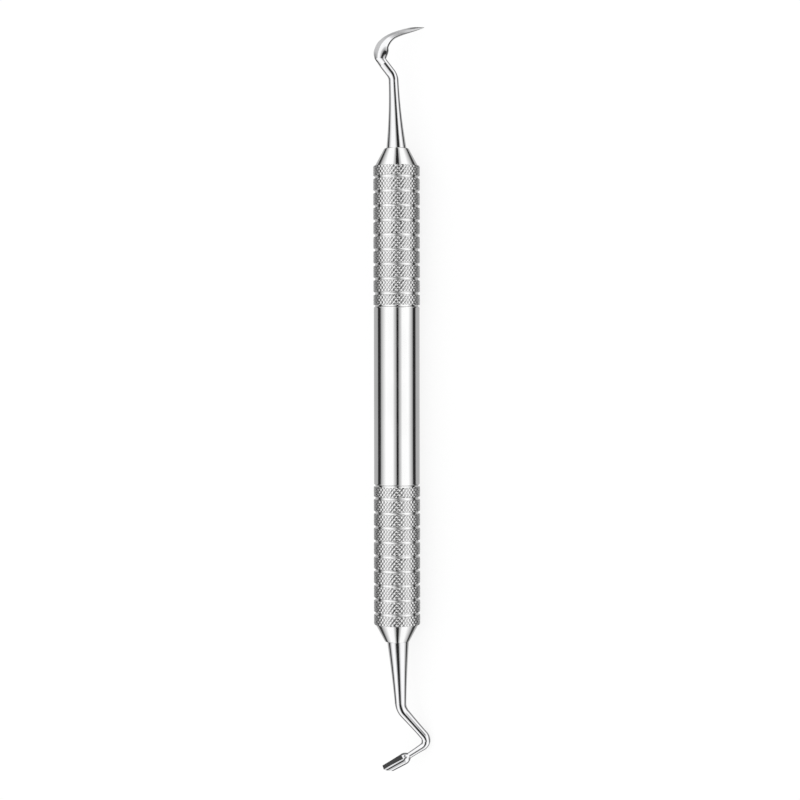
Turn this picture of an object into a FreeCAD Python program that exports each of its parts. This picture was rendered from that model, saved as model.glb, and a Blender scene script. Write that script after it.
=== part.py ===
# Sickle scaler: a double-ended hand instrument of polished stainless steel, in millimetres.
# A hollow knurled handle is closed at each end by a turned cone, and each cone holds one forged
# working end: a hooked sickle at one end, a small half-round hoe at the other.
#
# Everything is drawn in a flat frame first. There x runs along the handle towards the sickle,
# y across it, and z out of the plane in which both shanks bend. The whole is then rolled about
# the handle until the hoe's elbow meets the ground, which is how the instrument lies on a table.

import FreeCAD, Part
import math
import os

# Handle tube
knurl_diameter = 10.1        # over the tips of the diamonds
groove_diameter = 9.2        # floor of every groove, and the foot of each end cone
barrel_diameter = 9.8        # smooth middle length
barrel_length = 38.3
barrel_chamfer = 0.25
relief_width = 0.3           # undercut between the barrel and the first knurled band
band_count = 10              # knurled bands on each side of the barrel
band_pitch = 3.1
groove_width = 0.6
edge_band_length = 2.15      # the first and the last band are a little shorter
handle_bore = 8.0

# Diamond knurl
diamonds_round = 20
knurl_depth = 0.28
band_edge_drop = 0.1         # how far the tips fall away at the two edges of a band

# End cones, and the tangs that they hold
cone_length = 3.75
cone_nose_diameter = 5.2
spigot_length = 7.0
spigot_chamfer = 0.4
tang_diameter = 3.0
tang_length = 9.0
tang_chamfer = 0.3
bond_gap = 0.05              # room for the adhesive round each spigot and each tang

# Shank of the sickle
sickle_root_diameter = 4.3
sickle_neck_diameter = 2.1
sickle_flare_length = 16.0
sickle_flare_power = 2.0
sickle_lean = 2.3            # degrees between the handle's axis and the first run
sickle_first_run = 14.4
sickle_bend = 35.2           # degrees
sickle_bend_radius = 3.0
sickle_neck_run = 3.5

# Shank of the hoe
hoe_root_diameter = 4.65
hoe_root_offset = 0.2        # the shank leaves its cone this far off the handle's axis
hoe_neck_diameter = 1.92
hoe_flare_length = 21.0
hoe_flare_power = 1.6
hoe_lean = 2.2
hoe_first_run = 13.2
hoe_bend = 39.1
hoe_bend_radius = 4.0
hoe_slant_run = 6.16
hoe_elbow = 98.3
hoe_elbow_radius = 1.7
hoe_end_run = 4.7
hoe_heel_diameter = 1.3      # of the shank where it meets the blade
hoe_thinning_power = 3.0

# Sickle blade, drawn in a frame that starts at the end of the neck and points along it.
# Each station is the place of the cutting edge and of the back (along, to the left),
# and the width of the flat face between the two cutting edges.
sickle_stations = [
    ((-1.30, -0.45), (-0.60, 0.60), 1.0),
    ((-0.50, -1.05), (1.00, 0.88), 1.5),
    ((0.29, -2.31), (2.21, 0.19), 1.95),
    ((1.13, -3.00), (3.17, -1.35), 2.0),
    ((1.63, -4.05), (3.44, -2.85), 1.85),
    ((1.77, -5.15), (3.29, -4.55), 1.6),
    ((1.43, -6.65), (2.79, -6.35), 1.3),
    ((0.90, -8.14), (2.12, -8.03), 1.0),
    ((0.34, -9.65), (1.29, -9.66), 0.6),
    ((-0.24, -11.45), (-0.20, -11.59), 0.08),
]
ridge_share = 0.6            # the side faces turn towards the back this far from the edges
ridge_width_share = 0.7      # blade width at that ridge, of the width of the face
back_width_share = 0.1

# Hoe blade: a short bar with a rounded heel, ground flat on one side and slanted at the toe
hoe_bar_heel_diameter = 2.5
hoe_bar_toe_diameter = 2.05
hoe_bar_length = 5.2
hoe_heel_length = 1.3        # rounded rise from the shank to the full bar
hoe_face_offset = 0.76       # the flat face lies this far from the bar's axis
hoe_face_start = 0.3         # the face begins this far past the heel
hoe_face_runout = 0.8        # radius of the grinding wheel's run-out there
hoe_blade_turn = 3.0         # degrees that the blade turns back from the shank's last run
hoe_face_roll = 23.0         # degrees that the face is turned up out of the flat frame
hoe_toe_angle = 46.0         # degrees between the toe and a square cut
hoe_toe_reach = 4.85         # the toe's sharp edge lies this far past the heel

section_spacing = 12.0       # degrees between the round sections of a bend
smallest_bow = 0.01          # a run whose outline bows less than this is drawn straight

# Places along the handle that follow from the sizes above
band_length = band_pitch - groove_width
zone_start = barrel_length / 2 + relief_width
zone_length = 2 * edge_band_length + (band_count - 2) * band_length + (band_count - 1) * groove_width
tube_end = zone_start + zone_length
nose_x = tube_end + cone_length

X_AXIS = FreeCAD.Vector(1, 0, 0)
Z_AXIS = FreeCAD.Vector(0, 0, 1)
ORIGIN = FreeCAD.Vector(0, 0, 0)


def turned(profile):
    """A solid turned about the handle's axis from corners given as (x, radius)."""
    corners = [FreeCAD.Vector(x, radius, 0) for x, radius in profile]
    outline = Part.makePolygon(corners + corners[:1])
    return Part.Face(outline).revolve(ORIGIN, X_AXIS, 360)


def facet(corners):
    """A flat face with the given corners."""
    return Part.Face(Part.makePolygon(list(corners) + [corners[0]]))


def resting_height():
    """Height of the handle's axis when it lies on two neighbouring tips of every band."""
    return knurl_diameter / 2 * math.cos(math.radians(180 / diamonds_round))


def knurl_ring(x, row):
    """One row of the knurl, where tips and pits of the diamonds take turns round the handle.

    A band has three rows. The tips of the middle one stand highest, and two of them share the
    ground after the roll. The other two rows are the band's edges, worn a little lower.
    """
    is_edge = row != 1
    tip = knurl_diameter / 2 - (band_edge_drop if is_edge else 0)
    pit = knurl_diameter / 2 - knurl_depth
    underside = -90 - resting_roll()
    ring = []
    for i in range(2 * diamonds_round):
        angle = math.radians(underside + i * 180 / diamonds_round)
        radius = pit if (i + row) % 2 else tip
        ring.append(FreeCAD.Vector(x, radius * math.cos(angle), radius * math.sin(angle)))
    return ring


def knurled_band(length):
    """A disc whose rim is covered with low diamond pyramids, from x = 0 to its length."""
    rings = [knurl_ring(length * row / 2, row) for row in range(3)]
    faces = [facet(rings[0]), facet(rings[-1])]
    count = 2 * diamonds_round
    for row, (near, far) in enumerate(zip(rings, rings[1:])):
        for i in range(count):
            j = (i + 1) % count
            # each square of four neighbours is split along the line that joins its two pits
            if (i + row) % 2:
                faces += [facet((near[i], far[j], near[j])), facet((near[i], far[i], far[j]))]
            else:
                faces += [facet((near[i], far[i], near[j])), facet((near[j], far[i], far[j]))]
    shell = Part.makeShell(faces)
    shell.sewShape()
    return Part.makeSolid(shell)


def band_places():
    """Start and length of each knurled band on the sickle's side of the barrel."""
    places = [(zone_start, edge_band_length)]
    for k in range(band_count - 2):
        places.append((zone_start + edge_band_length + groove_width + k * band_pitch, band_length))
    places.append((tube_end - edge_band_length, edge_band_length))
    return places


def make_handle_tube():
    """The bored tube: smooth barrel, an undercut at each side, then the knurled bands."""
    floor = groove_diameter / 2
    top = barrel_diameter / 2
    half = barrel_length / 2
    # the floor of the grooves stops inside the last band, whose own wall is the end of the tube
    core_end = tube_end - edge_band_length / 2
    core = turned([
        (-core_end, 0), (-core_end, floor), (-half, floor), (-half, top - barrel_chamfer),
        (-half + barrel_chamfer, top), (half - barrel_chamfer, top), (half, top - barrel_chamfer),
        (half, floor), (core_end, floor), (core_end, 0),
    ])
    patterns = {length: knurled_band(length) for length in (edge_band_length, band_length)}
    bands = []
    for start, length in band_places():
        for x in (start, -start - length):
            band = patterns[length].copy()
            band.translate(X_AXIS * x)
            bands.append(band)
    bore = Part.makeCylinder(handle_bore / 2, 2 * nose_x, X_AXIS * -nose_x, X_AXIS)
    return core.multiFuse(bands).cut(bore)


def make_end_cone():
    """One end cone on the sickle's side, with its spigot in the tube and its bore for the tang."""
    spigot = handle_bore / 2 - bond_gap
    bore = tang_diameter / 2 + bond_gap
    inner_end = tube_end - spigot_length
    return turned([
        (inner_end, bore), (inner_end, spigot - spigot_chamfer), (inner_end + spigot_chamfer, spigot),
        (tube_end, spigot), (tube_end, groove_diameter / 2), (nose_x, cone_nose_diameter / 2),
        (nose_x, bore),
    ])


def make_tang():
    """The straight pin of a working end, from inside the cone to the cone's nose."""
    radius = tang_diameter / 2
    start = nose_x - tang_length
    return turned([
        (start, 0), (start, radius - tang_chamfer), (start + tang_chamfer, radius),
        (nose_x, radius), (nose_x, 0),
    ])


class Route:
    """A bent centre line in the flat frame, kept as legs: straight runs and round bends."""

    def __init__(self, start, heading):
        self.place = start
        self.heading = heading
        self.travelled = 0.0
        self.legs = []

    def run(self, length):
        """Go straight on."""
        leg = {"place": self.place, "heading": self.heading, "travelled": self.travelled,
               "length": length, "turn": 0.0}
        self.legs.append(leg)
        self.place, self.heading = along(leg, 1.0)
        self.travelled += length
        return self

    def bend(self, turn, radius):
        """Turn by so many degrees on an arc, to the left if positive."""
        leg = {"place": self.place, "heading": self.heading, "travelled": self.travelled,
               "length": radius * math.radians(abs(turn)), "turn": turn, "radius": radius}
        self.legs.append(leg)
        self.place, self.heading = along(leg, 1.0)
        self.travelled += leg["length"]
        return self


def direction(heading):
    """The unit vector of a heading in the flat frame."""
    return FreeCAD.Vector(math.cos(math.radians(heading)), math.sin(math.radians(heading)), 0)


def bend_centre(leg):
    """The centre of a bend's arc."""
    side = math.copysign(90, leg["turn"])
    return leg["place"] + direction(leg["heading"] + side) * leg["radius"]


def along(leg, share):
    """Place and heading on a leg, at a share of its length."""
    if not leg["turn"]:
        return leg["place"] + direction(leg["heading"]) * (leg["length"] * share), leg["heading"]
    heading = leg["heading"] + leg["turn"] * share
    side = math.copysign(90, leg["turn"])
    return bend_centre(leg) - direction(heading + side) * leg["radius"], heading


def flared(travelled, root, neck, length, power):
    """Diameter of a shank that thins from its root to its neck, quickly at first."""
    left = max(0.0, 1 - travelled / length)
    return neck + (root - neck) * left ** power


def placed(shape, place, heading):
    """The shape, moved from the x axis to a place and heading of the flat frame."""
    shape.rotate(ORIGIN, Z_AXIS, heading)
    shape.translate(place)
    return shape


def straight_bar(leg, diameter_at, rounded=False):
    """A turned bar for a straight run: its outline is an arc through its diameters at the start,
    the middle and the end, or a line where they lie in line. A rounded bar ends in half a ball."""
    first, middle, last = [
        FreeCAD.Vector(leg["length"] * share, diameter_at(leg["travelled"] + leg["length"] * share) / 2, 0)
        for share in (0, 0.5, 1)
    ]
    is_straight = middle.distanceToLine(first, last - first) < smallest_bow
    side = Part.makeLine(first, last) if is_straight else Part.Arc(first, middle, last).toShape()
    foot, toe = FreeCAD.Vector(first.x, 0, 0), FreeCAD.Vector(last.x, 0, 0)
    end = Part.makeLine(last, toe)
    if rounded:
        bulge = toe + direction(45) * last.y
        toe.x += last.y
        end = Part.Arc(last, bulge, toe).toShape()
    outline = Part.Wire([Part.makeLine(foot, first), side, end, Part.makeLine(toe, foot)])
    bar = Part.Face(outline).revolve(ORIGIN, X_AXIS, 360)
    return placed(bar, leg["place"], leg["heading"])


def bent_bar(leg, diameter_at):
    """A bar for a bend, ruled between round sections that are spaced evenly along its arc."""
    count = math.ceil(abs(leg["turn"]) / section_spacing)
    sections = []
    for k in range(count + 1):
        radius = diameter_at(leg["travelled"] + leg["length"] * k / count) / 2
        circle = Part.Wire(Part.makeCircle(radius, ORIGIN, X_AXIS))
        sections.append(placed(circle, *along(leg, k / count)))
    return Part.makeLoft(sections, True, True)


def square_root(leg, diameter_at):
    """The first run of a shank, started a little early and cut square on the nose of its cone."""
    radius = diameter_at(0) / 2
    early = radius
    longer = dict(leg)
    longer["place"] = leg["place"] - direction(leg["heading"]) * early
    longer["travelled"] = leg["travelled"] - early
    longer["length"] = leg["length"] + early
    side = 8 * radius
    behind = Part.makeBox(side, side, side, FreeCAD.Vector(-side, -side / 2, -side / 2))
    outward = 0 if leg["place"].x > 0 else 180
    return straight_bar(longer, diameter_at).cut(placed(behind, leg["place"], outward))


def round_bar(route, diameter_at, rounded):
    """The solids of a shank, leg by leg. The last leg is a straight one, with a rounded end or not."""
    solids = [square_root(route.legs[0], diameter_at)]
    for leg in route.legs[1:-1]:
        solids.append(bent_bar(leg, diameter_at) if leg["turn"] else straight_bar(leg, diameter_at))
    solids.append(straight_bar(route.legs[-1], diameter_at, rounded))
    return solids


def sickle_route():
    """Centre line of the sickle's shank, from the nose of its cone."""
    route = Route(FreeCAD.Vector(nose_x, 0, 0), sickle_lean)
    return route.run(sickle_first_run).bend(sickle_bend, sickle_bend_radius).run(sickle_neck_run)


def sickle_diameter(travelled):
    """Diameter of the sickle's shank."""
    return flared(travelled, sickle_root_diameter, sickle_neck_diameter,
                  sickle_flare_length, sickle_flare_power)


def hoe_route():
    """Centre line of the hoe's shank, from the nose of its cone to the heel of its blade."""
    route = Route(FreeCAD.Vector(-nose_x, -hoe_root_offset, 0), 180 + hoe_lean)
    route.run(hoe_first_run).bend(hoe_bend, hoe_bend_radius).run(hoe_slant_run)
    return route.bend(-hoe_elbow, hoe_elbow_radius).run(hoe_end_run)


def hoe_diameter(travelled):
    """Diameter of the hoe's shank: flared first, and thinning again from the middle of the elbow."""
    elbow_length = hoe_elbow_radius * math.radians(hoe_elbow)
    thinning_length = elbow_length / 2 + hoe_end_run
    past = travelled - (hoe_route().travelled - thinning_length)
    if past > 0:
        return flared(past, hoe_neck_diameter, hoe_heel_diameter, thinning_length, hoe_thinning_power)
    return flared(travelled, hoe_root_diameter, hoe_neck_diameter, hoe_flare_length, hoe_flare_power)


def sickle_section(edge, back, width):
    """A six-cornered blade section: flat face, two side faces and two bevels to a narrow back."""
    across = back - edge
    ridge = edge + across * ridge_share
    corners = []
    for middle, share in ((edge, 1.0), (ridge, ridge_width_share), (back, back_width_share)):
        corners.append(middle + Z_AXIS * (width * share / 2))
    for middle, share in ((back, back_width_share), (ridge, ridge_width_share), (edge, 1.0)):
        corners.append(middle - Z_AXIS * (width * share / 2))
    return Part.makePolygon(corners + corners[:1])


def make_sickle_end():
    """Tang, shank and hooked blade of the sickle, forged as one."""
    route = sickle_route()
    sections = []
    for edge, back, width in sickle_stations:
        sections.append(sickle_section(FreeCAD.Vector(*edge, 0), FreeCAD.Vector(*back, 0), width))
    blade = placed(Part.makeLoft(sections, True, False), route.place, route.heading)
    return make_tang().multiFuse(round_bar(route, sickle_diameter, rounded=True) + [blade])


def hoe_blade():
    """The hoe's blade along the x axis, its heel at x = 0 and its flat face on the -y side."""
    heel = hoe_bar_heel_diameter / 2
    toe = hoe_bar_toe_diameter / 2
    neck = FreeCAD.Vector(-hoe_heel_length, hoe_heel_diameter / 2, 0)
    full = FreeCAD.Vector(0, heel, 0)
    rise = Part.BezierCurve()
    rise.setPoles([neck, FreeCAD.Vector(-hoe_heel_length / 2, heel, 0), full])
    far = FreeCAD.Vector(hoe_bar_length, toe, 0)
    outline = Part.Wire([
        Part.makeLine(FreeCAD.Vector(neck.x, 0, 0), neck),
        rise.toShape(),
        Part.makeLine(full, far),
        Part.makeLine(far, FreeCAD.Vector(far.x, 0, 0)),
        Part.makeLine(FreeCAD.Vector(far.x, 0, 0), FreeCAD.Vector(neck.x, 0, 0)),
    ])
    bar = Part.Face(outline).revolve(ORIGIN, X_AXIS, 360)
    # the ground flat: a wheel's rim runs out towards the heel in an arc
    deep = -hoe_face_offset
    high = deep - hoe_face_runout
    beyond = 2 * hoe_bar_length
    corner = hoe_face_start + hoe_face_runout
    swing = math.sqrt(0.5) * hoe_face_runout
    wheel = Part.Wire([
        Part.Arc(FreeCAD.Vector(hoe_face_start, high, 0), FreeCAD.Vector(corner - swing, high + swing, 0),
                 FreeCAD.Vector(corner, deep, 0)).toShape(),
        Part.makeLine(FreeCAD.Vector(corner, deep, 0), FreeCAD.Vector(beyond, deep, 0)),
        Part.makeLine(FreeCAD.Vector(beyond, deep, 0), FreeCAD.Vector(beyond, high, 0)),
        Part.makeLine(FreeCAD.Vector(beyond, high, 0), FreeCAD.Vector(hoe_face_start, high, 0)),
    ])
    wide = 2 * hoe_bar_heel_diameter
    flat = Part.Face(wheel).extrude(Z_AXIS * wide)
    flat.translate(Z_AXIS * (-wide / 2))
    # the slanted toe: its sharp edge is where it meets the flat face
    toe_cut = Part.makeBox(hoe_bar_length, 2 * wide, wide, FreeCAD.Vector(0, -wide, -wide / 2))
    toe_cut.rotate(ORIGIN, Z_AXIS, hoe_toe_angle)
    toe_cut.translate(FreeCAD.Vector(hoe_toe_reach, deep, 0))
    blade = bar.cut(flat).cut(toe_cut)
    blade.rotate(ORIGIN, X_AXIS, -hoe_face_roll)
    return blade


def make_hoe_end():
    """Tang, bent shank and half-round blade of the hoe, forged as one."""
    tang = make_tang()
    tang.rotate(ORIGIN, Z_AXIS, 180)
    route = hoe_route()
    blade = placed(hoe_blade(), route.place, route.heading - hoe_blade_turn)
    return tang.multiFuse(round_bar(route, hoe_diameter, rounded=False) + [blade])


def resting_roll():
    """Degrees of roll at which the hoe's elbow meets the ground under the handle.

    The elbow's outermost point lies where its centre line runs along the handle again. It sinks
    by its distance from the handle's axis times the sine of the roll, and it meets the ground
    when that and the elbow's own radius make up the radius of the handle.
    """
    elbow = hoe_route().legs[-2]
    outermost, _ = along(elbow, (elbow["heading"] - 180) / hoe_elbow)
    radius = hoe_diameter(elbow["travelled"]) / 2
    return math.degrees(math.asin((resting_height() - radius) / -outermost.y))


def main():
    os.makedirs("parts", exist_ok=True)
    sickle_cone = make_end_cone()
    hoe_cone = make_end_cone()
    hoe_cone.rotate(ORIGIN, Z_AXIS, 180)
    nodes = {
        "handle_tube": make_handle_tube(),
        "sickle_end_cone": sickle_cone,
        "hoe_end_cone": hoe_cone,
        "sickle_end": make_sickle_end(),
        "hoe_end": make_hoe_end(),
    }
    roll = resting_roll()
    for shape in nodes.values():
        shape.rotate(ORIGIN, X_AXIS, roll)
        shape.translate(Z_AXIS * resting_height())
    whole = FreeCAD.BoundBox()
    for shape in nodes.values():
        whole.add(shape.optimalBoundingBox(False))
    # the origin is on the ground under the middle of the whole instrument
    middle = FreeCAD.Vector(whole.Center.x, whole.Center.y, 0)
    for name, shape in nodes.items():
        shape.translate(-middle)
        print(name, "solids", len(shape.Solids), "valid", shape.isValid(), "mm3", round(shape.Volume, 1))
        shape.exportStep("parts/" + name + ".step")
    print("roll", round(roll, 2), "length", round(whole.XLength, 2), "width", round(whole.YLength, 2),
          "height", round(whole.ZLength, 2), "lowest", round(whole.ZMin, 3))


main()
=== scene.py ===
# %% [markdown]
# # A double-ended sickle scaler
# This small hand instrument has a round handle with knurled bands, a cone at each end, and two
# forged working ends: a hooked sickle and a small half-round hoe. The solids give every place.
# Here each of them gets a smooth skin, with the true fine knurl, and a polished steel finish.

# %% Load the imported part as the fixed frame
import math

import bpy
import numpy as np
from mathutils import Matrix, Vector


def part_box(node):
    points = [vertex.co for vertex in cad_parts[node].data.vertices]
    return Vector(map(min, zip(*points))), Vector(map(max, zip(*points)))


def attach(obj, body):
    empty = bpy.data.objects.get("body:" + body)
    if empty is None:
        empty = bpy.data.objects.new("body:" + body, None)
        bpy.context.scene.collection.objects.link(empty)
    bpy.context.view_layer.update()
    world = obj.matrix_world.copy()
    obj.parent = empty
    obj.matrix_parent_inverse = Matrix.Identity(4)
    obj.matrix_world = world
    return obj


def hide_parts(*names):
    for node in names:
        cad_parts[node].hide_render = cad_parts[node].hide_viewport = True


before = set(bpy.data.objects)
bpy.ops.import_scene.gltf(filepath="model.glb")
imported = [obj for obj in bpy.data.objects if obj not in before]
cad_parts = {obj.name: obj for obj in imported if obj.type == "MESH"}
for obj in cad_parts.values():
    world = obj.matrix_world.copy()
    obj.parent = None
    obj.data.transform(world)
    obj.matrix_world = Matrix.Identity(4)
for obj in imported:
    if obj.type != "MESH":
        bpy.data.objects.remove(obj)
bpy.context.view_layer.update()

# %% [markdown]
# ## The flat frame
# The instrument is easiest to describe as the photograph shows it: x along the handle towards the
# sickle, y to the left, z towards the viewer, in millimetres from the middle of the handle. On the
# table it lies rolled about the handle, until the hoe's elbow meets the ground. So every surface is
# computed flat, and one function rolls its points and puts them where the solids are.

# %% Places taken from the solids
MM = 0.001
tube_low, tube_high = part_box("handle_tube")
cone_low, cone_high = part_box("sickle_end_cone")
end_low, end_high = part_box("sickle_end")
axis_y = (cone_low[1] + cone_high[1]) / 2 / MM
axis_z = (cone_low[2] + cone_high[2]) / 2 / MM
middle_x = (tube_low[0] + tube_high[0]) / 2 / MM
tube_end = (tube_high[0] - tube_low[0]) / 2 / MM
nose_x = cone_high[0] / MM - middle_x
tang_start = end_low[0] / MM - middle_x
spigot_start = cone_low[0] / MM - middle_x
cone_foot_radius = (cone_high[2] - cone_low[2]) / 2 / MM
print(f"axis at y {axis_y:.3f} and z {axis_z:.3f}, tube end {tube_end:.2f}, cone nose {nose_x:.2f}")

# %% [markdown]
# ## Centre lines of the two shanks
# A bent rod is told by its heading: constant on a straight run, and changing evenly on a round
# bend. The places follow by adding up small steps in the direction of the heading. A list of legs,
# each with its length and its turn, is therefore all that a shank needs.

# %% A centre line from its legs
STEP = 0.1    # mm between two rings along a shank


def centre_line(start, heading, legs):
    """Places, headings and distances along a bent line.

    The heading is linear in the distance on each leg. A place is the start plus the running sum
    of step times (cos, sin) of the heading in the middle of each step.
    """
    corners = np.cumsum([0.0] + [length for length, turn in legs])
    headings = np.radians(heading + np.cumsum([0.0] + [turn for length, turn in legs]))
    travelled = np.unique(np.concatenate([np.arange(0, corners[-1], STEP), corners]))
    middles = (travelled[1:] + travelled[:-1]) / 2
    steps = np.diff(travelled)[:, None]
    towards = np.interp(middles, corners, headings)
    moves = steps * np.stack([np.cos(towards), np.sin(towards)], axis=1)
    places = np.vstack([start, start + np.cumsum(moves, axis=0)])
    return places, np.interp(travelled, corners, headings), travelled


def arc(turn, radius):
    """A leg that turns by so many degrees on a circle."""
    return (radius * math.radians(abs(turn)), turn)


sickle_legs = [(14.4, 0), arc(35.2, 3.0), (3.5, 0)]
hoe_legs = [(13.2, 0), arc(39.1, 4.0), (6.16, 0), arc(-98.3, 1.7), (4.7, 0)]
sickle_line = centre_line((nose_x, 0.0), 2.3, sickle_legs)
hoe_line = centre_line((-nose_x, -0.2), 182.2, hoe_legs)
print("shank lengths", round(sickle_line[2][-1], 2), round(hoe_line[2][-1], 2))

# %% [markdown]
# ## How thick the shanks are
# Each shank leaves its cone thick and thins quickly at first, then slowly, which a power of the
# remaining length describes. The hoe's shank thins once more after its elbow, down to the blade.

# %% Radius along each shank
def flared(travelled, root, neck, length, power):
    """Radius that falls from root to neck: neck + (root - neck) * (1 - travelled / length) ** power."""
    left = np.clip(1 - travelled / length, 0, 1)
    return neck + (root - neck) * left ** power


HOE_NECK_RADIUS = 0.96
HOE_HEEL_RADIUS = 0.65
sickle_radius = flared(sickle_line[2], 2.15, 1.05, 16.0, 2.0)
hoe_radius = flared(hoe_line[2], 2.325, HOE_NECK_RADIUS, 21.0, 1.6)
thinning_length = hoe_legs[3][0] / 2 + hoe_legs[4][0]
past_elbow = hoe_line[2] - (hoe_line[2][-1] - thinning_length)
thinned = flared(past_elbow, HOE_NECK_RADIUS, HOE_HEEL_RADIUS, thinning_length, 3.0)
hoe_radius = np.where(past_elbow > 0, thinned, hoe_radius)

# the elbow's outermost point sinks to the ground, which gives the roll about the handle
elbow_y = hoe_line[0][:, 1].min()
roll = math.asin((axis_z - HOE_NECK_RADIUS) / -elbow_y)
print("roll about the handle", round(math.degrees(roll), 2), "degrees")


def to_frame(points):
    """Points of the flat frame in mm, rolled about x and put in place in metres."""
    x, y, z = np.moveaxis(np.asarray(points, float), -1, 0)
    cos, sin = math.cos(roll), math.sin(roll)
    return np.stack([x + middle_x, y * cos - z * sin + axis_y, y * sin + z * cos + axis_z], -1) * MM

# %% [markdown]
# ## From a grid of points to a closed skin
# Every piece here is a sheet of points in rows, where each row is a closed ring. Two neighbouring
# rings are joined by quads. A rod gets a fan of triangles at its first and its last ring, and a
# tube or a hollow cone joins its last ring to its first instead, so no piece has a hole.

# %% The skin builder
def skin(name, grid, hollow=False, sharp=25.0, split=None, depth=None):
    """A mesh object from a grid of rows x columns x 3, whose rows are rings.

    Quad (i, j) joins points j and j + 1 of ring i to those of ring i + 1. Where a split array is
    given, each quad becomes two triangles, cut along its one diagonal or its other. A depth array
    becomes the attribute groove_depth, which the material reads for painted shade and roughness.
    """
    rows, columns, _ = grid.shape
    points = to_frame(grid).reshape(-1, 3)
    last = rows if hollow else rows - 1
    i, j = np.meshgrid(np.arange(last), np.arange(columns), indexing="ij")
    a = i * columns + j
    b = i * columns + (j + 1) % columns
    c = ((i + 1) % rows) * columns + (j + 1) % columns
    d = ((i + 1) % rows) * columns + j
    if split is None:
        faces = np.stack([a, b, c, d], -1).reshape(-1, 4).tolist()
    else:
        first = np.where(split[..., None], np.stack([a, b, c], -1), np.stack([a, b, d], -1))
        second = np.where(split[..., None], np.stack([a, c, d], -1), np.stack([b, c, d], -1))
        faces = np.concatenate([first.reshape(-1, 3), second.reshape(-1, 3)]).tolist()
    if not hollow:
        ends = to_frame(np.stack([grid[0].mean(axis=0), grid[-1].mean(axis=0)]))
        points = np.vstack([points, ends])
        near, far = rows * columns, rows * columns + 1
        ring = np.arange(columns)
        after = (ring + 1) % columns
        top = (rows - 1) * columns
        faces += np.stack([np.full(columns, near), after, ring], -1).tolist()
        faces += np.stack([np.full(columns, far), top + ring, top + after], -1).tolist()
    mesh = bpy.data.meshes.new(name)
    mesh.from_pydata(points, [], faces, shade_flat=False)
    mesh.set_sharp_from_angle(angle=math.radians(sharp))
    if depth is not None:
        attribute = mesh.attributes.new("groove_depth", "FLOAT", "POINT")
        attribute.data.foreach_set("value", depth.ravel())
    piece = bpy.data.objects.new(name, mesh)
    bpy.context.scene.collection.objects.link(piece)
    print(name, "faces", len(mesh.polygons))
    return piece


def lathe(x, radius, columns):
    """Rings about the handle's axis: y = r cos t, z = r sin t, for one row per (x, r)."""
    t = np.linspace(0, 2 * math.pi, columns, endpoint=False)
    radius = np.asarray(radius, float)
    radius = radius[:, None] if radius.ndim == 1 else radius
    x = np.asarray(x, float)[:, None] + 0 * t
    return np.stack([x, radius * np.cos(t), radius * np.sin(t)], axis=-1)

# %% [markdown]
# ## The knurl
# A knurling tool rolls two families of helical grooves into the bar, one to each hand, and leaves
# small pyramids between them. In the unrolled surface the two families are stripes, so the height
# is the lower one of two triangle waves. The grid is laid so that all pyramid tips and all crossings of
# grooves fall on its points, and each quad is cut along the groove's own direction.

# %% Height of the knurl
DIAMONDS = 36           # round the handle
DIAMOND_LENGTH = 1.05   # mm along the handle
FINE = 3                # grid steps in half a diamond
TIP_RADIUS = axis_z - 0.003
KNURL_DEPTH = 0.14      # mm
FLAT_FROM = 0.75        # share of a full pyramid's height that is left
KNURL_COLUMNS = 2 * FINE * DIAMONDS


def triangle_wave(turns):
    """0 at whole numbers of turns and 1 half-way between."""
    return 1 - np.abs(2 * (turns - np.floor(turns)) - 1)


def knurl_height(x):
    """Share of the full height for rows at x: min of two waves along x / length +- angle / pitch.

    All above FLAT_FROM is cut off, as a tool leaves it that isn't pressed in to the full.
    """
    across = np.arange(KNURL_COLUMNS) / (2 * FINE)
    along = np.asarray(x)[:, None] / DIAMOND_LENGTH
    height = np.minimum(triangle_wave(along + across), triangle_wave(along - across))
    return np.minimum(height, FLAT_FROM) / FLAT_FROM

# %% [markdown]
# ## The handle tube
# Ten knurled bands stand on each side of a smooth barrel. The narrow grooves between them are
# turned with a round-nosed tool after knurling, so the pattern of the diamonds runs on from band
# to band and each groove has a hollow floor. The tube is bored through, and its ends are open
# for the cones. It is one surface: down the outside, round the end and back along the bore.

# %% Rows of the handle tube
BAND_PITCH = 3.1
GROOVE_WIDTH = 0.6
EDGE_BAND = 2.15
BAND_COUNT = 10
FLOOR_RADIUS = cone_foot_radius
BARREL_RADIUS = 4.9
BARREL_HALF = 19.15
BARREL_CHAMFER = 0.25
BORE_RADIUS = 4.0
EDGE_BREAK = 0.07       # the rim of each band is taken down this much
KNURL_MARK = 0.1        # depth that is written on the tops, to tell them from smooth steel


def band_rows(start, end):
    """x, radius and groove depth of the rows of one band: lattice rows and its two broken rims."""
    pace = DIAMOND_LENGTH / (2 * FINE)
    inside = np.arange(math.ceil((start + 0.4 * pace) / pace), math.floor((end - 0.4 * pace) / pace) + 1)
    x = np.concatenate([[start], inside * pace, [end]])
    depth = 1 - knurl_height(x)
    top = TIP_RADIUS - KNURL_DEPTH * depth
    top[0] -= EDGE_BREAK
    top[-1] -= EDGE_BREAK
    return x, top, KNURL_MARK + (1 - KNURL_MARK) * depth


def groove_rows(start, end):
    """x, radius and no depth for the rows of a groove: half an ellipse from rim to rim."""
    angle = np.radians([12, 35, 65, 90, 115, 145, 168])
    x = (start + end) / 2 - (end - start) / 2 * np.cos(angle)
    depth = TIP_RADIUS - KNURL_DEPTH - FLOOR_RADIUS
    radius = np.repeat((FLOOR_RADIUS + depth * (1 - np.sin(angle)))[:, None], KNURL_COLUMNS, axis=1)
    return x, radius, 0 * radius


def smooth_rows(pairs):
    """x, radius and no depth for plain turned rows."""
    x, radius = np.array(pairs, float).T
    radius = np.repeat(radius[:, None], KNURL_COLUMNS, axis=1)
    return x, radius, 0 * radius


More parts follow.
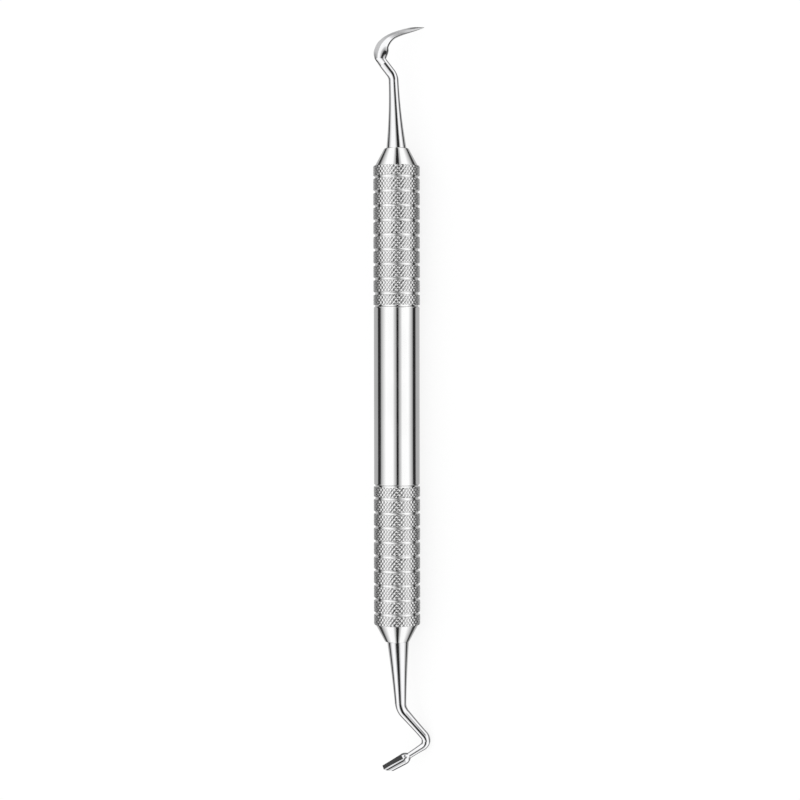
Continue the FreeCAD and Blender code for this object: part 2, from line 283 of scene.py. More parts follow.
def knurled_zone():
    """Rows of all bands and grooves on the sickle's side, from the barrel outwards."""
    lengths = [EDGE_BAND] + [BAND_PITCH - GROOVE_WIDTH] * (BAND_COUNT - 2) + [EDGE_BAND]
    x = tube_end - sum(lengths) - GROOVE_WIDTH * (BAND_COUNT - 1)
    blocks = []
    for k, length in enumerate(lengths):
        blocks.append(band_rows(x, x + length))
        x += length
        if k < BAND_COUNT - 1:
            blocks.append(groove_rows(x, x + GROOVE_WIDTH))
            x += GROOVE_WIDTH
    return blocks


def mirrored(blocks):
    """The same rows on the hoe's side, from the end of the tube inwards."""
    return [(-x[::-1], radius[::-1], depth[::-1]) for x, radius, depth in reversed(blocks)]


zone = knurled_zone()
zone_start = zone[0][0][0]
# the last rows before the chamfers keep the barrel's shading straight right up to them
straight = BARREL_HALF - BARREL_CHAMFER
barrel = smooth_rows([
    (-zone_start, FLOOR_RADIUS), (-BARREL_HALF, FLOOR_RADIUS),
    (-BARREL_HALF, BARREL_RADIUS - BARREL_CHAMFER), (-straight, BARREL_RADIUS),
    (-straight + 0.05, BARREL_RADIUS), (-straight + 0.1, BARREL_RADIUS),
    (straight - 0.1, BARREL_RADIUS), (straight - 0.05, BARREL_RADIUS),
    (straight, BARREL_RADIUS), (BARREL_HALF, BARREL_RADIUS - BARREL_CHAMFER),
    (BARREL_HALF, FLOOR_RADIUS), (zone_start, FLOOR_RADIUS),
])
far_end = smooth_rows([(tube_end, FLOOR_RADIUS), (tube_end, BORE_RADIUS)])
near_end = smooth_rows([(-tube_end, BORE_RADIUS), (-tube_end, FLOOR_RADIUS)])
blocks = [near_end] + mirrored(zone) + [barrel] + zone + [far_end]
tube_x, tube_radius, tube_depth = [np.concatenate(rows) for rows in zip(*blocks)]
tube_grid = lathe(tube_x, tube_radius, KNURL_COLUMNS)

# which diagonal follows the grooves: it changes from half diamond to half diamond, both ways
half_rows = np.floor((tube_x + np.roll(tube_x, -1)) / DIAMOND_LENGTH)
half_columns = np.floor((np.arange(KNURL_COLUMNS) + 0.5) / FINE)
split = (half_rows[:, None] + half_columns) % 2 == 1
handle = skin("handle_skin", tube_grid, hollow=True, sharp=50.0, split=split, depth=tube_depth)

# %% [markdown]
# ## The end cones
# Each cone is turned in one piece with a spigot that is glued into the tube, and bored for the
# tang. The edge of its nose is broken, which catches a thin line of light.

# %% End cones
CONE_COLUMNS = 144
SPIGOT_RADIUS = 3.95
SPIGOT_CHAMFER = 0.4
TANG_BORE_RADIUS = 1.55
NOSE_RADIUS = 2.6
NOSE_BREAK = 0.09


def end_cone(name, side):
    """A hollow lathe: spigot, foot, flank, broken nose edge, and back along the bore."""
    flank = np.linspace(0, 1, 12)[:, None]
    foot = np.array([[tube_end + 0.03, cone_foot_radius]])
    rim = np.array([[nose_x - NOSE_BREAK, NOSE_RADIUS + NOSE_BREAK * 0.5]])
    profile = np.vstack([
        [(spigot_start, TANG_BORE_RADIUS), (spigot_start, SPIGOT_RADIUS - SPIGOT_CHAMFER)],
        [(spigot_start + SPIGOT_CHAMFER, SPIGOT_RADIUS), (tube_end, SPIGOT_RADIUS)],
        [(tube_end, cone_foot_radius - 0.03)],
        foot + (rim - foot) * flank,
        [(nose_x, NOSE_RADIUS - NOSE_BREAK), (nose_x, TANG_BORE_RADIUS)],
    ])
    if side < 0:
        profile = profile[::-1] * (-1, 1)
    return skin(name, lathe(profile[:, 0], profile[:, 1], CONE_COLUMNS), hollow=True)


sickle_cone = end_cone("sickle_cone_skin", 1)
hoe_cone = end_cone("hoe_cone_skin", -1)

# %% [markdown]
# ## Rings across a bent rod
# A forged end is one surface from its tang to its tip. A round section is a circle of points
# across the centre line. The first ring of a shank stays square on its cone, while the shank
# itself leans a little, so the heading of the rings eases into that of the line.

# %% Rings of a tang and a shank
TANG_RADIUS = 1.5
TANG_CHAMFER = 0.3
EASE_LENGTH = 1.0       # mm over which the rings turn from square to the shank's lean


def across(places, headings, left, up):
    """Points at distances left and up from places, in the plane across each heading."""
    sideways = np.stack([-np.sin(headings), np.cos(headings), 0 * headings], axis=-1)
    centres = np.concatenate([places, np.zeros((len(places), 1))], axis=1)
    return centres[:, None] + left[..., None] * sideways[:, None] + up[..., None] * [0.0, 0.0, 1.0]


def rod_rings(line, radius, angles, side):
    """Rings of the tang and of the shank, for points at the given angles from the left."""
    places, headings, travelled = line
    square = 0.0 if side > 0 else math.pi
    ease = np.clip(travelled / EASE_LENGTH, 0, 1)
    headings = square + (headings - square) * ease
    stations = np.array([tang_start, tang_start + TANG_CHAMFER, nose_x])
    tang_places = np.stack([side * stations, 0 * stations], axis=1)
    tang_radius = np.array([TANG_RADIUS - TANG_CHAMFER, TANG_RADIUS, TANG_RADIUS])
    places = np.vstack([tang_places, places])
    headings = np.concatenate([np.full(3, square), headings])
    radius = np.concatenate([tang_radius, radius])[:, None]
    return across(places, headings, radius * np.cos(angles), radius * np.sin(angles))

# %% [markdown]
# ## The sickle
# The blade is a hook with a flat face between its two cutting edges, two sides, two bevels and a
# narrow back, and the whetstone leaves a narrow facet along each cutting edge. A few stations give
# the place of edge and back and the width, and smooth curves through them give all sections. The
# hook is forged from the round neck and then ground, so it starts rounder and gets its facets
# slowly. Between the neck and the first station, each point of the circle moves over to the point
# of the blade's outline that lies in the same direction.

# %% Sections of the sickle
FACE_POINTS = 10        # points along each of the eight faces
STATION_STEPS = 12      # rings between two stations
BLEND_START = 1.1       # mm before the neck's end
EDGE_SHARE = 0.1        # the whetstone leaves a narrow facet this wide along each cutting edge
EDGE_WIDTH = 0.7
RIDGE_SHARE = 0.6
RIDGE_WIDTH = 0.7
BACK_WIDTH = 0.1
ROUND_STATIONS = 3      # stations over which the blade loses the neck's roundness
ROUND_START = 0.7       # and how round it starts
# per face, how satin it is and how much painted shade greys it
SATIN_AND_SHADE_SHARES = [1.0, 0.0, 0.5, 0.5, 0.5, 0.0, 1.0, 0.0]
sickle_stations = np.array([
    # edge (along, left)   back (along, left)   width
    (-0.50, -1.05, 1.00, 0.88, 1.5),
    (0.29, -2.31, 2.21, 0.19, 1.95),
    (1.13, -3.00, 3.17, -1.35, 2.0),
    (1.63, -4.05, 3.44, -2.85, 1.85),
    (1.77, -5.15, 3.29, -4.55, 1.6),
    (1.43, -6.65, 2.79, -6.35, 1.3),
    (0.90, -8.14, 2.12, -8.03, 1.0),
    (0.34, -9.65, 1.29, -9.66, 0.6),
    (-0.24, -11.45, -0.20, -11.59, 0.08),
])


def smooth_through(points, steps):
    """A curve through points: on each stretch the cubic with the slopes of its neighbours' chords."""
    padded = np.vstack([2 * points[0] - points[1], points, 2 * points[-1] - points[-2]])
    t = (np.arange(steps) / steps)[:, None]
    rows = []
    for before, start, end, after in zip(padded, padded[1:], padded[2:], padded[3:]):
        slope = (end - before) / 2
        end_slope = (after - start) / 2
        rows.append(start * (1 + 2 * t) * (1 - t) ** 2 + slope * t * (1 - t) ** 2
                    + end * t ** 2 * (3 - 2 * t) + end_slope * t ** 2 * (t - 1))
    return np.vstack(rows + [points[-1:]])


def eight_faces(edge, back, width):
    """Points of one section, all in the flat frame's axes along, left and up."""
    reach = back - edge
    half = width / 2
    upper = [(edge, half * EDGE_WIDTH), (edge + reach * EDGE_SHARE, half),
             (edge + reach * RIDGE_SHARE, half * RIDGE_WIDTH), (back, half * BACK_WIDTH)]
    lower = [(place, -up) for place, up in upper]
    corners = np.array([(place[0], place[1], up) for place, up in lower + upper[::-1]])
    after = np.roll(corners, -1, axis=0)
    share = (np.arange(FACE_POINTS) / FACE_POINTS)[:, None]
    return np.vstack([start + (end - start) * share for start, end in zip(corners, after)])


def oval(edge, back, width, angles):
    """Points of the oval with the same reach and width: middle + reach / 2 cos t + width / 2 sin t."""
    reach = back - edge
    flat = (edge + back) / 2 + reach / 2 * np.cos(angles)[:, None]
    return np.concatenate([flat, (width / 2 * np.sin(angles))[:, None]], axis=1)


def local_to_flat(points, line):
    """Points given along, left and up from the end of a line, in the flat frame."""
    place, heading = line[0][-1], line[1][-1]
    turn = np.array([[math.cos(heading), math.sin(heading), 0],
                     [-math.sin(heading), math.cos(heading), 0], [0, 0, 1]])
    return points @ turn + [place[0], place[1], 0]


stations = smooth_through(sickle_stations, STATION_STEPS)
blade = np.array([eight_faces(row[0:2], row[2:4], row[4]) for row in stations])
first = blade[0]
centre = first.mean(axis=0)
reach = sickle_stations[0, 2:4] - sickle_stations[0, 0:2]
reach = reach / np.linalg.norm(reach)
angles = np.unwrap(np.arctan2(first[:, 2], (first - centre)[:, :2] @ reach))
ovals = np.array([oval(row[0:2], row[2:4], row[4], angles) for row in stations])
roundness = np.clip(1 - np.arange(len(blade)) / (ROUND_STATIONS * STATION_STEPS), 0, 1)
blade = blade + (ovals - blade) * (ROUND_START * roundness[:, None, None] ** 1.5)
first = blade[0]
neck_radius = sickle_radius[-1]
round_ring = np.stack([np.full(len(angles), -BLEND_START), neck_radius * np.cos(angles),
                       neck_radius * np.sin(angles)], axis=1)
share = np.linspace(0, 1, 14)[1:-1, None, None]
blend = round_ring + (first - round_ring) * share ** 1.5
keep = sickle_line[2] < sickle_line[2][-1] - BLEND_START
shank_line = (sickle_line[0][keep], sickle_line[1][keep], sickle_line[2][keep])
shank = rod_rings(shank_line, sickle_radius[keep], angles, 1)
local = local_to_flat(np.vstack([[round_ring], blend, blade]), sickle_line)
sickle_grid = np.vstack([shank, local])
sickle = skin("sickle_skin", sickle_grid, sharp=17.0)

# how satin each of the eight faces is, and how much painted shade greys it: facet, side, bevel, back and
# so on round
rows, columns, _ = sickle_grid.shape
face_row, face_column = np.divmod(np.arange((rows - 1) * columns), columns)
satin_and_shade_share = np.array(SATIN_AND_SHADE_SHARES)[face_column // FACE_POINTS]
satin_and_shade_share *= face_row >= rows - len(blade)
attribute = sickle.data.attributes.new("ground_face_and_shade", "FLOAT", "FACE")
attribute.data.foreach_set("value", np.pad(satin_and_shade_share, (0, 2 * columns)))

# %% [markdown]
# ## The hoe
# The hoe is a short round bar with a rounded heel, ground flat on one side. The grinding wheel
# leaves the bar in an arc near the heel, and the toe is cut at a slant. A section is a circle whose
# part beyond the flat is replaced by a straight line. The rings lean over towards the toe, until the
# last one lies in the plane of the cut.

# %% Sections of the hoe
BAR_HEEL_RADIUS = 1.25
BAR_TOE_RADIUS = 1.025
BAR_LENGTH = 5.2
HEEL_LENGTH = 1.3
FACE_OFFSET = 0.76
FACE_START = -0.5       # the wheel also takes the top of the heel away
FACE_RUNOUT = 0.8
FACE_ROLL = math.radians(23.0)
BLADE_TURN = math.radians(3.0)
TOE_ANGLE = math.radians(46.0)
TOE_REACH = 4.85
ARC_POINTS = 72
FLAT_POINTS = 14
SMALLEST_HALF_ANGLE = 0.06
SLANT_START = 3.0       # mm along the bar, where the rings begin to lean over
NO_FACE = 9.0           # a distance of the face that leaves a unit circle whole


def bar_radius(x):
    """Quadratic rise over the heel, with its steepest end at the shank, then a straight taper."""
    rise = np.clip(1 + x / HEEL_LENGTH, 0, 1)
    heel = HOE_HEEL_RADIUS + (BAR_HEEL_RADIUS - HOE_HEEL_RADIUS) * rise * (2 - rise)
    taper = BAR_HEEL_RADIUS + (BAR_TOE_RADIUS - BAR_HEEL_RADIUS) * np.clip(x, 0, None) / BAR_LENGTH
    return np.where(x < 0, heel, taper)


def face_depth(x):
    """Distance of the ground face from the bar's axis: an arc of the wheel, then constant."""
    before = np.clip(FACE_START + FACE_RUNOUT - x, 0, None)
    runout = FACE_RUNOUT - np.sqrt(np.clip(FACE_RUNOUT ** 2 - before ** 2, 0, None))
    return np.where(before > FACE_RUNOUT, 2 * BAR_HEEL_RADIUS, FACE_OFFSET + runout)


def clipped_circle(radius, depth):
    """Left and up of the points of a circle cut off at left = -depth, for arrays of sections."""
    half = np.arccos(np.clip(depth / radius, -1, 1))
    half = np.maximum(half, SMALLEST_HALF_ANGLE)[:, None]
    radius = radius[:, None]
    share = np.arange(ARC_POINTS) / ARC_POINTS
    arc_angle = -math.pi + half + 2 * (math.pi - half) * share
    left, up = radius * np.cos(arc_angle), radius * np.sin(arc_angle)
    flat_share = np.arange(FLAT_POINTS) / FLAT_POINTS
    flat_up = radius * np.sin(half) * (1 - 2 * flat_share)
    flat_left = -np.sqrt(radius ** 2 - flat_up ** 2)
    flat_left = np.maximum(flat_left, -depth[:, None])
    return np.hstack([left, flat_left]), np.hstack([up, flat_up])


before_heel = hoe_line[2] - hoe_line[2][-1]
bar_x = np.linspace(0, SLANT_START, 46)[1:]
hoe_rod_radius = np.where(before_heel > -HEEL_LENGTH, bar_radius(before_heel), hoe_radius)
unit_left, unit_up = clipped_circle(np.ones(1), np.full(1, NO_FACE))
unit_angles = np.arctan2(unit_up[0], unit_left[0])
hoe_rod = rod_rings(hoe_line, hoe_rod_radius, unit_angles, -1)

left, up = clipped_circle(bar_radius(bar_x), face_depth(bar_x))
body = np.stack([np.broadcast_to(bar_x[:, None], left.shape), left, up], axis=-1)
toe_x = TOE_REACH - (left[-1] + FACE_OFFSET) * math.tan(TOE_ANGLE)
slant = np.linspace(0, 1, 24)[1:, None]
lean_x = bar_x[-1] + (toe_x - bar_x[-1]) * slant
lean = []
for row in lean_x:
    point_radius = bar_radius(row)
    scale = point_radius / bar_radius(bar_x[-1:])[0]
    up_here = up[-1] * scale
    left_here = np.where(left[-1] <= -FACE_OFFSET + 1e-6, -FACE_OFFSET, left[-1] * scale)
    lean.append(np.stack([row, left_here, up_here], axis=-1))
hoe_body = np.vstack([body, lean])
turned_left = hoe_body[..., 1] * math.cos(FACE_ROLL) + hoe_body[..., 2] * math.sin(FACE_ROLL)
turned_up = -hoe_body[..., 1] * math.sin(FACE_ROLL) + hoe_body[..., 2] * math.cos(FACE_ROLL)
hoe_body = np.stack([hoe_body[..., 0], turned_left, turned_up], axis=-1)
cos, sin = math.cos(BLADE_TURN), math.sin(BLADE_TURN)
hoe_body = hoe_body @ np.array([[cos, -sin, 0], [sin, cos, 0], [0, 0, 1]])
hoe = skin("hoe_skin", np.vstack([hoe_rod, local_to_flat(hoe_body, hoe_line)]), sharp=25.0)

# %% [markdown]
# ## Polished steel
# Stainless steel has no colour of its own: it shows what is around it. Three things keep it from
# looking like a computed mirror. Polishing leaves fine rings on what is turned and fine lines along
# what is forged, which a stretched noise gives to the bump. Handling leaves faint patches where
# the reflection is softer, which a large soft noise gives to the roughness and to the tint.
# The bottom of the knurl is painted dark, as painted shade deep between the diamonds, which makes the
# diamonds stand out, and the diamonds themselves are a little rougher than the barrel. The bevels and
# the whetstone's facets of the sickle are satin, and greyer with painted shade. Two attributes of the
# skins tell where.
# How deep and how dark isn't measured: it was tried out until the picture came near the photograph.

# %% The finish
def noise(nodes, links, coordinates, stretch, detail):
    """A noise of the object's coordinates in metres, stretched by a factor on each axis."""
    mapping = nodes.new("ShaderNodeMapping")
    mapping.inputs["Scale"].default_value = stretch
    links.new(coordinates.outputs["Object"], mapping.inputs["Vector"])
    texture = nodes.new("ShaderNodeTexNoise")
    texture.inputs["Scale"].default_value = 1.0
    texture.inputs["Detail"].default_value = detail
    links.new(mapping.outputs["Vector"], texture.inputs["Vector"])
    return texture.outputs["Fac"]


def ranged(nodes, links, value, low, high):
    """The value, spread over a range of numbers."""
    spread = nodes.new("ShaderNodeMapRange")
    spread.inputs["From Min"].default_value = 0.3
    spread.inputs["From Max"].default_value = 0.7
    spread.inputs["To Min"].default_value = low
    spread.inputs["To Max"].default_value = high
    links.new(value, spread.inputs["Value"])
    return spread.outputs["Result"]


def greyed(nodes, links, factor, base, grey):
    """The base colour, which goes over into a grey where the factor is high."""
    mix = nodes.new("ShaderNodeMix")
    mix.data_type = "RGBA"
    mix.inputs["B"].default_value = (grey, grey, grey, 1)
    links.new(factor, mix.inputs["Factor"])
    links.new(base, mix.inputs["A"])
    return mix.outputs["Result"]


DARK_FROM = 0.62        # share of the knurl's depth where the painted shade begins
DARK_SPAN = 0.25        # share of the depth over which it goes over to dark
# grey of the painted shade at the bottom of the knurl
GROOVE_SHADE_GREY = 0.03
KNURL_ROUGHNESS = 0.04  # more than on the barrel, on the diamonds
SATIN_ROUGHNESS = 0.3   # more than on the shanks, where the sickle is ground
# grey of the painted shade on the sickle's bevels and whetstone facets
GROUND_FACE_SHADE_GREY = 0.12
PATCH_TINT = 0.95            # the tint of the darker patches, as a share of the full one
BUMP_STRENGTH = 0.5


def polished_steel(name, tint, roughness, marks, bump_height):
    """Metal with polishing marks stretched by marks, soft patches, and a faint change of tint.

    Where the attribute groove_depth is high it is painted dark, as shade deep in the knurl, and where
    the attribute of the ground faces is high it is satin and greyer with painted shade. A skin
    without these attributes has 0 for both.
    """
    material = bpy.data.materials.new(name)
    material.use_nodes = True
    nodes, links = material.node_tree.nodes, material.node_tree.links
    shader = nodes["Principled BSDF"]
    shader.inputs["Metallic"].default_value = 1.0
    coordinates = nodes.new("ShaderNodeTexCoord")
    patches = noise(nodes, links, coordinates, (260, 420, 420), 3.0)
    depth = nodes.new("ShaderNodeAttribute")
    depth.attribute_name = "groove_depth"
    # painted shade: the colour goes dark deep in the knurl's grooves
    groove_shade = nodes.new("ShaderNodeMapRange")
    groove_shade.interpolation_type = "SMOOTHSTEP"
    groove_shade.inputs["From Min"].default_value = DARK_FROM
    groove_shade.inputs["From Max"].default_value = DARK_FROM + DARK_SPAN
    links.new(depth.outputs["Fac"], groove_shade.inputs["Value"])
    worn = nodes.new("ShaderNodeMapRange")
    worn.inputs["From Max"].default_value = KNURL_MARK
    worn.inputs["To Max"].default_value = KNURL_ROUGHNESS
    links.new(depth.outputs["Fac"], worn.inputs["Value"])
    rougher = nodes.new("ShaderNodeMath")
    links.new(worn.outputs["Result"], rougher.inputs[0])
    links.new(ranged(nodes, links, patches, *roughness), rougher.inputs[1])
    ground = nodes.new("ShaderNodeAttribute")
    ground.attribute_name = "ground_face_and_shade"
    satin = nodes.new("ShaderNodeMath")
    satin.operation = "MULTIPLY_ADD"
    satin.inputs[1].default_value = SATIN_ROUGHNESS
    links.new(ground.outputs["Fac"], satin.inputs[0])
    links.new(rougher.outputs["Value"], satin.inputs[2])
    links.new(satin.outputs["Value"], shader.inputs["Roughness"])
    cloud = noise(nodes, links, coordinates, (90, 160, 160), 2.0)
    level = ranged(nodes, links, cloud, 0.0, 1.0)
    mix = nodes.new("ShaderNodeMix")
    mix.data_type = "RGBA"
    mix.inputs["A"].default_value = (*[PATCH_TINT * c for c in tint], 1)
    mix.inputs["B"].default_value = (*tint, 1)
    links.new(level, mix.inputs["Factor"])
    colour = greyed(nodes, links, groove_shade.outputs["Result"], mix.outputs["Result"], GROOVE_SHADE_GREY)
    # painted shade: the ground faces of the sickle turn greyer, most of all on the whetstone's facets
    colour = greyed(nodes, links, ground.outputs["Fac"], colour, GROUND_FACE_SHADE_GREY)
    links.new(colour, shader.inputs["Base Color"])
    bump = nodes.new("ShaderNodeBump")
    bump.inputs["Strength"].default_value = BUMP_STRENGTH
    bump.inputs["Distance"].default_value = bump_height
    links.new(noise(nodes, links, coordinates, marks, 4.0), bump.inputs["Height"])
    links.new(bump.outputs["Normal"], shader.inputs["Normal"])
    return material


turned_steel = polished_steel("turned_steel", (0.80, 0.80, 0.80), (0.05, 0.11), (9000, 260, 260), 2e-6)
ground_steel = polished_steel("ground_steel", (0.78, 0.78, 0.79), (0.06, 0.12), (500, 5000, 5000), 2e-6)

# %% [markdown]
# ## Every skin joins the frame
# Each skin stands for one solid, rides on the one body, and takes one of the two steel finishes.

# %% Skins in place of the solids
for piece, node, slot, material in [
    (handle, "handle_tube", "handle_steel", turned_steel),
    (sickle_cone, "sickle_end_cone", "handle_steel", turned_steel),
    (hoe_cone, "hoe_end_cone", "handle_steel", turned_steel),
    (sickle, "sickle_end", "forged_steel", ground_steel),
    (hoe, "hoe_end", "forged_steel", ground_steel),
]:
    piece.data.materials.append(material)
    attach(piece, "root")
    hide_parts(node)
    low, high = [1000 * Vector(f(c) for c in zip(*piece.bound_box)) for f in (min, max)]
    cad_low, cad_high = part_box(node)
    print(piece.name, "beyond its solid by",
          [round(v, 3) for v in (1000 * cad_low - low)], [round(v, 3) for v in (high - 1000 * cad_high)])

# %% [markdown]
# ## The studio
# Metal is lit by what it mirrors. Two long soft boxes run along the instrument, to the left and to
# the right of the camera, with a dark slot between them where the camera stands. Beside them the
# light fades to grey, then comes a dark edge and the grey of the room. So the brightness mostly
# depends on the angle about the handle between a direction and the camera's.
# Towards the ends of the instrument the set changes. There the slot is wider, it bends to the right
# above the sickle and to the left below the hoe, a small panel closes it for a stretch, the dark
# edges lie lower, and the floor is dark. One table says so for directions that lean more and more
# towards an end. The background that the camera sees, and the light on the floor, are plain white.
# The numbers were set until the reflections agreed with those on this instrument's
# photograph. So the studio belongs to this one view, and other objects call for other numbers.

# %% World
camera_side = (0.0, -math.sin(roll), math.cos(roll))
right_side = (0.0, -math.cos(roll), -math.sin(roll))
# part of a direction along the handle; slot's middle and the widening of its half, in degrees;
# how far the rest is drawn in; brightness of the panel
LENGTHWISE = [
    (-0.90, 4, 5.0, 0.74, 0.0), (-0.80, 0, 5.0, 0.74, 0.0), (-0.72, -3, 6.0, 0.74, 0.6),
    (-0.60, -8, 7.0, 0.74, 0.6), (-0.50, -8, 8.5, 0.77, 0.0), (-0.30, -8, 8.5, 0.90, 0.0),
    (-0.20, 4, 7.5, 0.90, 0.0), (-0.12, 4, 0.0, 0.96, 0.0), (-0.06, 4, 0.0, 1.0, 0.0),
    (0.06, 4, 0.0, 1.0, 0.0), (0.12, 6, 2.0, 0.96, 0.0), (0.20, 16, 7.5, 0.90, 0.0),
    (0.25, 22, 8.5, 0.90, 0.0), (0.40, 23, 8.5, 0.83, 0.0), (0.50, 32, 8.5, 0.77, 0.0),
    (0.60, 36, 7.0, 0.74, 0.6), (0.72, 14, 6.0, 0.74, 0.6), (0.80, 8, 5.0, 0.74, 0.0),
    (0.90, 8, 5.0, 0.74, 0.0),
]
# degrees from the slot's middle, and brightness there
STUDIO = [(0, 0.02), (4.6, 0.02), (6.0, 0.45), (17, 0.85), (23, 1.25), (58, 1.30), (86, 0.45),
          (90, 0.03), (108, 0.03), (113, 0.50), (180, 0.60)]
BRIGHTEST = 1.4
FLOOR_LEVEL = 0.08      # of the dark floor
world = bpy.data.worlds.new("studio")
bpy.context.scene.world = world
world.use_nodes = True
nodes, links = world.node_tree.nodes, world.node_tree.links
nodes.clear()
directions = nodes.new("ShaderNodeTexCoord")


def part_along(axis):
    """The part of the direction along an axis."""
    dot = nodes.new("ShaderNodeVectorMath")
    dot.operation = "DOT_PRODUCT"
    dot.inputs[1].default_value = axis
    links.new(directions.outputs["Generated"], dot.inputs[0])
    return dot.outputs["Value"]


def computed(operation, first_value, second_value=0.0):
    """One sum of two sockets or numbers."""
    sum_node = nodes.new("ShaderNodeMath")
    sum_node.operation = operation
    for socket, value in zip(sum_node.inputs, (first_value, second_value)):
        if isinstance(value, float):
            socket.default_value = value
        else:
            links.new(value, socket)
    return sum_node.outputs["Value"]


def eased(value, start, end, at_start=0.0, at_end=1.0):
    """A number that eases from at_start to at_end while the value goes from start to end."""
    node = nodes.new("ShaderNodeMapRange")
    node.interpolation_type = "SMOOTHSTEP"
    for name, number in zip(("From Min", "From Max", "To Min", "To Max"), (start, end, at_start, at_end)):
        node.inputs[name].default_value = number
    links.new(value, node.inputs["Value"])
    return node.outputs["Result"]


def filled_ramp(rows):
    """A ramp through rows of a position and four numbers from 0 to 1."""
    node = nodes.new("ShaderNodeValToRGB")
    elements = node.color_ramp.elements
    while len(elements) < len(rows):
        elements.new(1.0)
    for element, (position, *numbers) in zip(elements, rows):
        element.position = position
        element.color = numbers
    return node


angle = computed("ARCTAN2", part_along(right_side), part_along(camera_side))
lengthwise = part_along((1.0, 0.0, 0.0))
leaning = computed("ABSOLUTE", lengthwise)
table = filled_ramp([
    ((part + 1) / 2, (middle + 90) / 180, widening / 180, drawn_in, panel)
    for part, middle, widening, drawn_in, panel in LENGTHWISE
])
links.new(computed("ADD", computed("MULTIPLY", lengthwise, 0.5), 0.5), table.inputs["Fac"])
split_table = nodes.new("ShaderNodeSeparateColor")
links.new(table.outputs["Color"], split_table.inputs["Color"])
slot_middle, widening, drawn_in = split_table.outputs
half_turns = computed("DIVIDE", angle, math.pi)
near = eased(computed("ABSOLUTE", half_turns), 30 / 180, 90 / 180, 1.0, 0.0)
bent = computed("MULTIPLY", computed("SUBTRACT", slot_middle, 0.5), near)
turned_away = computed("ABSOLUTE", computed("SUBTRACT", half_turns, bent))
from_slot = computed("SUBTRACT", computed("MULTIPLY", turned_away, drawn_in),
                     computed("MULTIPLY", widening, near))
ramp = filled_ramp([(degrees / 180, *[level / BRIGHTEST] * 3, 1.0) for degrees, level in STUDIO])
links.new(from_slot, ramp.inputs["Fac"])
panel = computed("MULTIPLY", table.outputs["Alpha"], eased(from_slot, 20 / 180, 40 / 180, 1.0, 0.0))
lit = computed("MAXIMUM", ramp.outputs["Color"], panel)
below = eased(computed("MULTIPLY", part_along(camera_side), -1.0), 0.3, 0.6)
dark_floor = computed("MULTIPLY", below, eased(leaning, 0.45, 0.60))
above = computed("MULTIPLY", lit, computed("SUBTRACT", 1.0, dark_floor))
brightness = computed("ADD", above, computed("MULTIPLY", dark_floor, FLOOR_LEVEL / BRIGHTEST))
reflected = nodes.new("ShaderNodeBackground")
reflected.inputs["Strength"].default_value = BRIGHTEST
links.new(brightness, reflected.inputs["Color"])
plain = nodes.new("ShaderNodeBackground")
plain.inputs["Color"].default_value = (1, 1, 1, 1)
rays = nodes.new("ShaderNodeLightPath")
either = nodes.new("ShaderNodeMixShader")
links.new(rays.outputs["Is Glossy Ray"], either.inputs["Fac"])
links.new(plain.outputs["Background"], either.inputs[1])
links.new(reflected.outputs["Background"], either.inputs[2])
output = nodes.new("ShaderNodeOutputWorld")
links.new(either.outputs["Shader"], output.inputs["Surface"])

# %% [markdown]
# ## The floor
# The instrument lies on a plain white table. The table itself glows faintly, which keeps the soft
# shadow under the steel light, and the steel doesn't mirror it, so both sides of the handle stay alike.

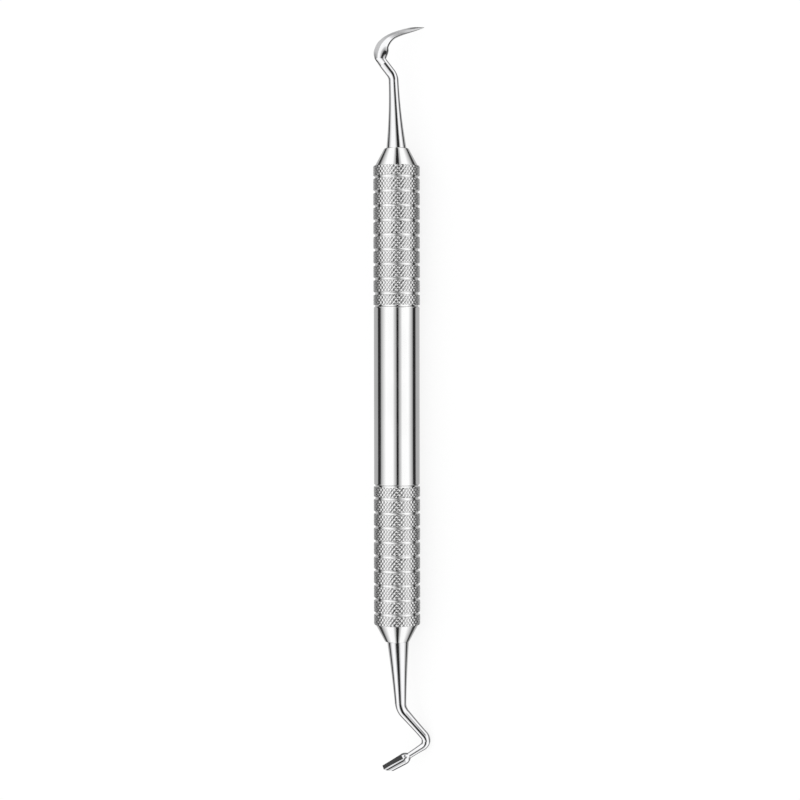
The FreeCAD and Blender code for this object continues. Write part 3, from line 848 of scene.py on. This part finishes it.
# %% Floor
floor_mesh = bpy.data.meshes.new("floor")
FLOOR_HALF = 3.0        # m
FLOOR_GREY = 0.2
FLOOR_GLOW = 0.82
floor_corners = [(-FLOOR_HALF, -FLOOR_HALF, 0), (FLOOR_HALF, -FLOOR_HALF, 0),
                 (FLOOR_HALF, FLOOR_HALF, 0), (-FLOOR_HALF, FLOOR_HALF, 0)]
floor_mesh.from_pydata(floor_corners, [], [(0, 1, 2, 3)])
floor = bpy.data.objects.new("floor", floor_mesh)
bpy.context.scene.collection.objects.link(floor)
floor.visible_glossy = False
paper = bpy.data.materials.new("white_table")
paper.use_nodes = True
paper_shader = paper.node_tree.nodes["Principled BSDF"]
paper_shader.inputs["Base Color"].default_value = (FLOOR_GREY, FLOOR_GREY, FLOOR_GREY, 1)
paper_shader.inputs["Roughness"].default_value = 0.9
paper_shader.inputs["Specular IOR Level"].default_value = 0.0
paper_shader.inputs["Emission Color"].default_value = (1, 1, 1, 1)
paper_shader.inputs["Emission Strength"].default_value = FLOOR_GLOW
floor_mesh.materials.append(paper)
bpy.context.scene.view_settings.view_transform = "Standard"

# %% [markdown]
# ## The camera
# The photograph looks straight at the plane in which both shanks bend, from about 40 cm with a
# portrait lens. In the frame of the table the camera therefore stands off to one side and above, and
# its picture is turned so that the sickle points up.

# %% Camera
DISTANCE = 415.0        # mm
PIXEL = 0.2146          # mm in the photograph, at the handle
TILT = math.radians(1.6)
PICTURE_ROLL = math.radians(-0.08)
AIM = (-0.90, -0.687, 0.0)     # mm from the middle of the handle, in the flat frame
SENSOR = 36.0           # mm
PICTURE_WIDTH = 800     # pixels
up_flat = np.array([1.0, 0.0, 0.0])
right_flat = np.array([0.0, -1.0, 0.0])
view_flat = np.array([0.0, 0.0, 1.0])
back_flat = view_flat * math.cos(TILT) + up_flat * math.sin(TILT)
level_flat = up_flat * math.cos(TILT) - view_flat * math.sin(TILT)
axis_right = right_flat * math.cos(PICTURE_ROLL) + level_flat * math.sin(PICTURE_ROLL)
axis_up = level_flat * math.cos(PICTURE_ROLL) - right_flat * math.sin(PICTURE_ROLL)
origin = to_frame(np.zeros(3))
columns = [Vector(to_frame(v) - origin).normalized() for v in (axis_right, axis_up, back_flat)]
camera_data = bpy.data.cameras.new("camera")
camera_data.sensor_width = SENSOR
camera_data.lens = SENSOR * DISTANCE / PIXEL / PICTURE_WIDTH
camera_data.clip_start = 0.01
camera_data.clip_end = 20.0
camera = bpy.data.objects.new("camera", camera_data)
bpy.context.scene.collection.objects.link(camera)
eye = to_frame(np.array(AIM) + back_flat * DISTANCE)
camera.matrix_world = Matrix.Translation(eye) @ Matrix(columns).transposed().to_4x4()
bpy.context.scene.camera = camera
print("lens", round(camera_data.lens, 1), "mm, eye in mm", [round(1000 * v) for v in eye])
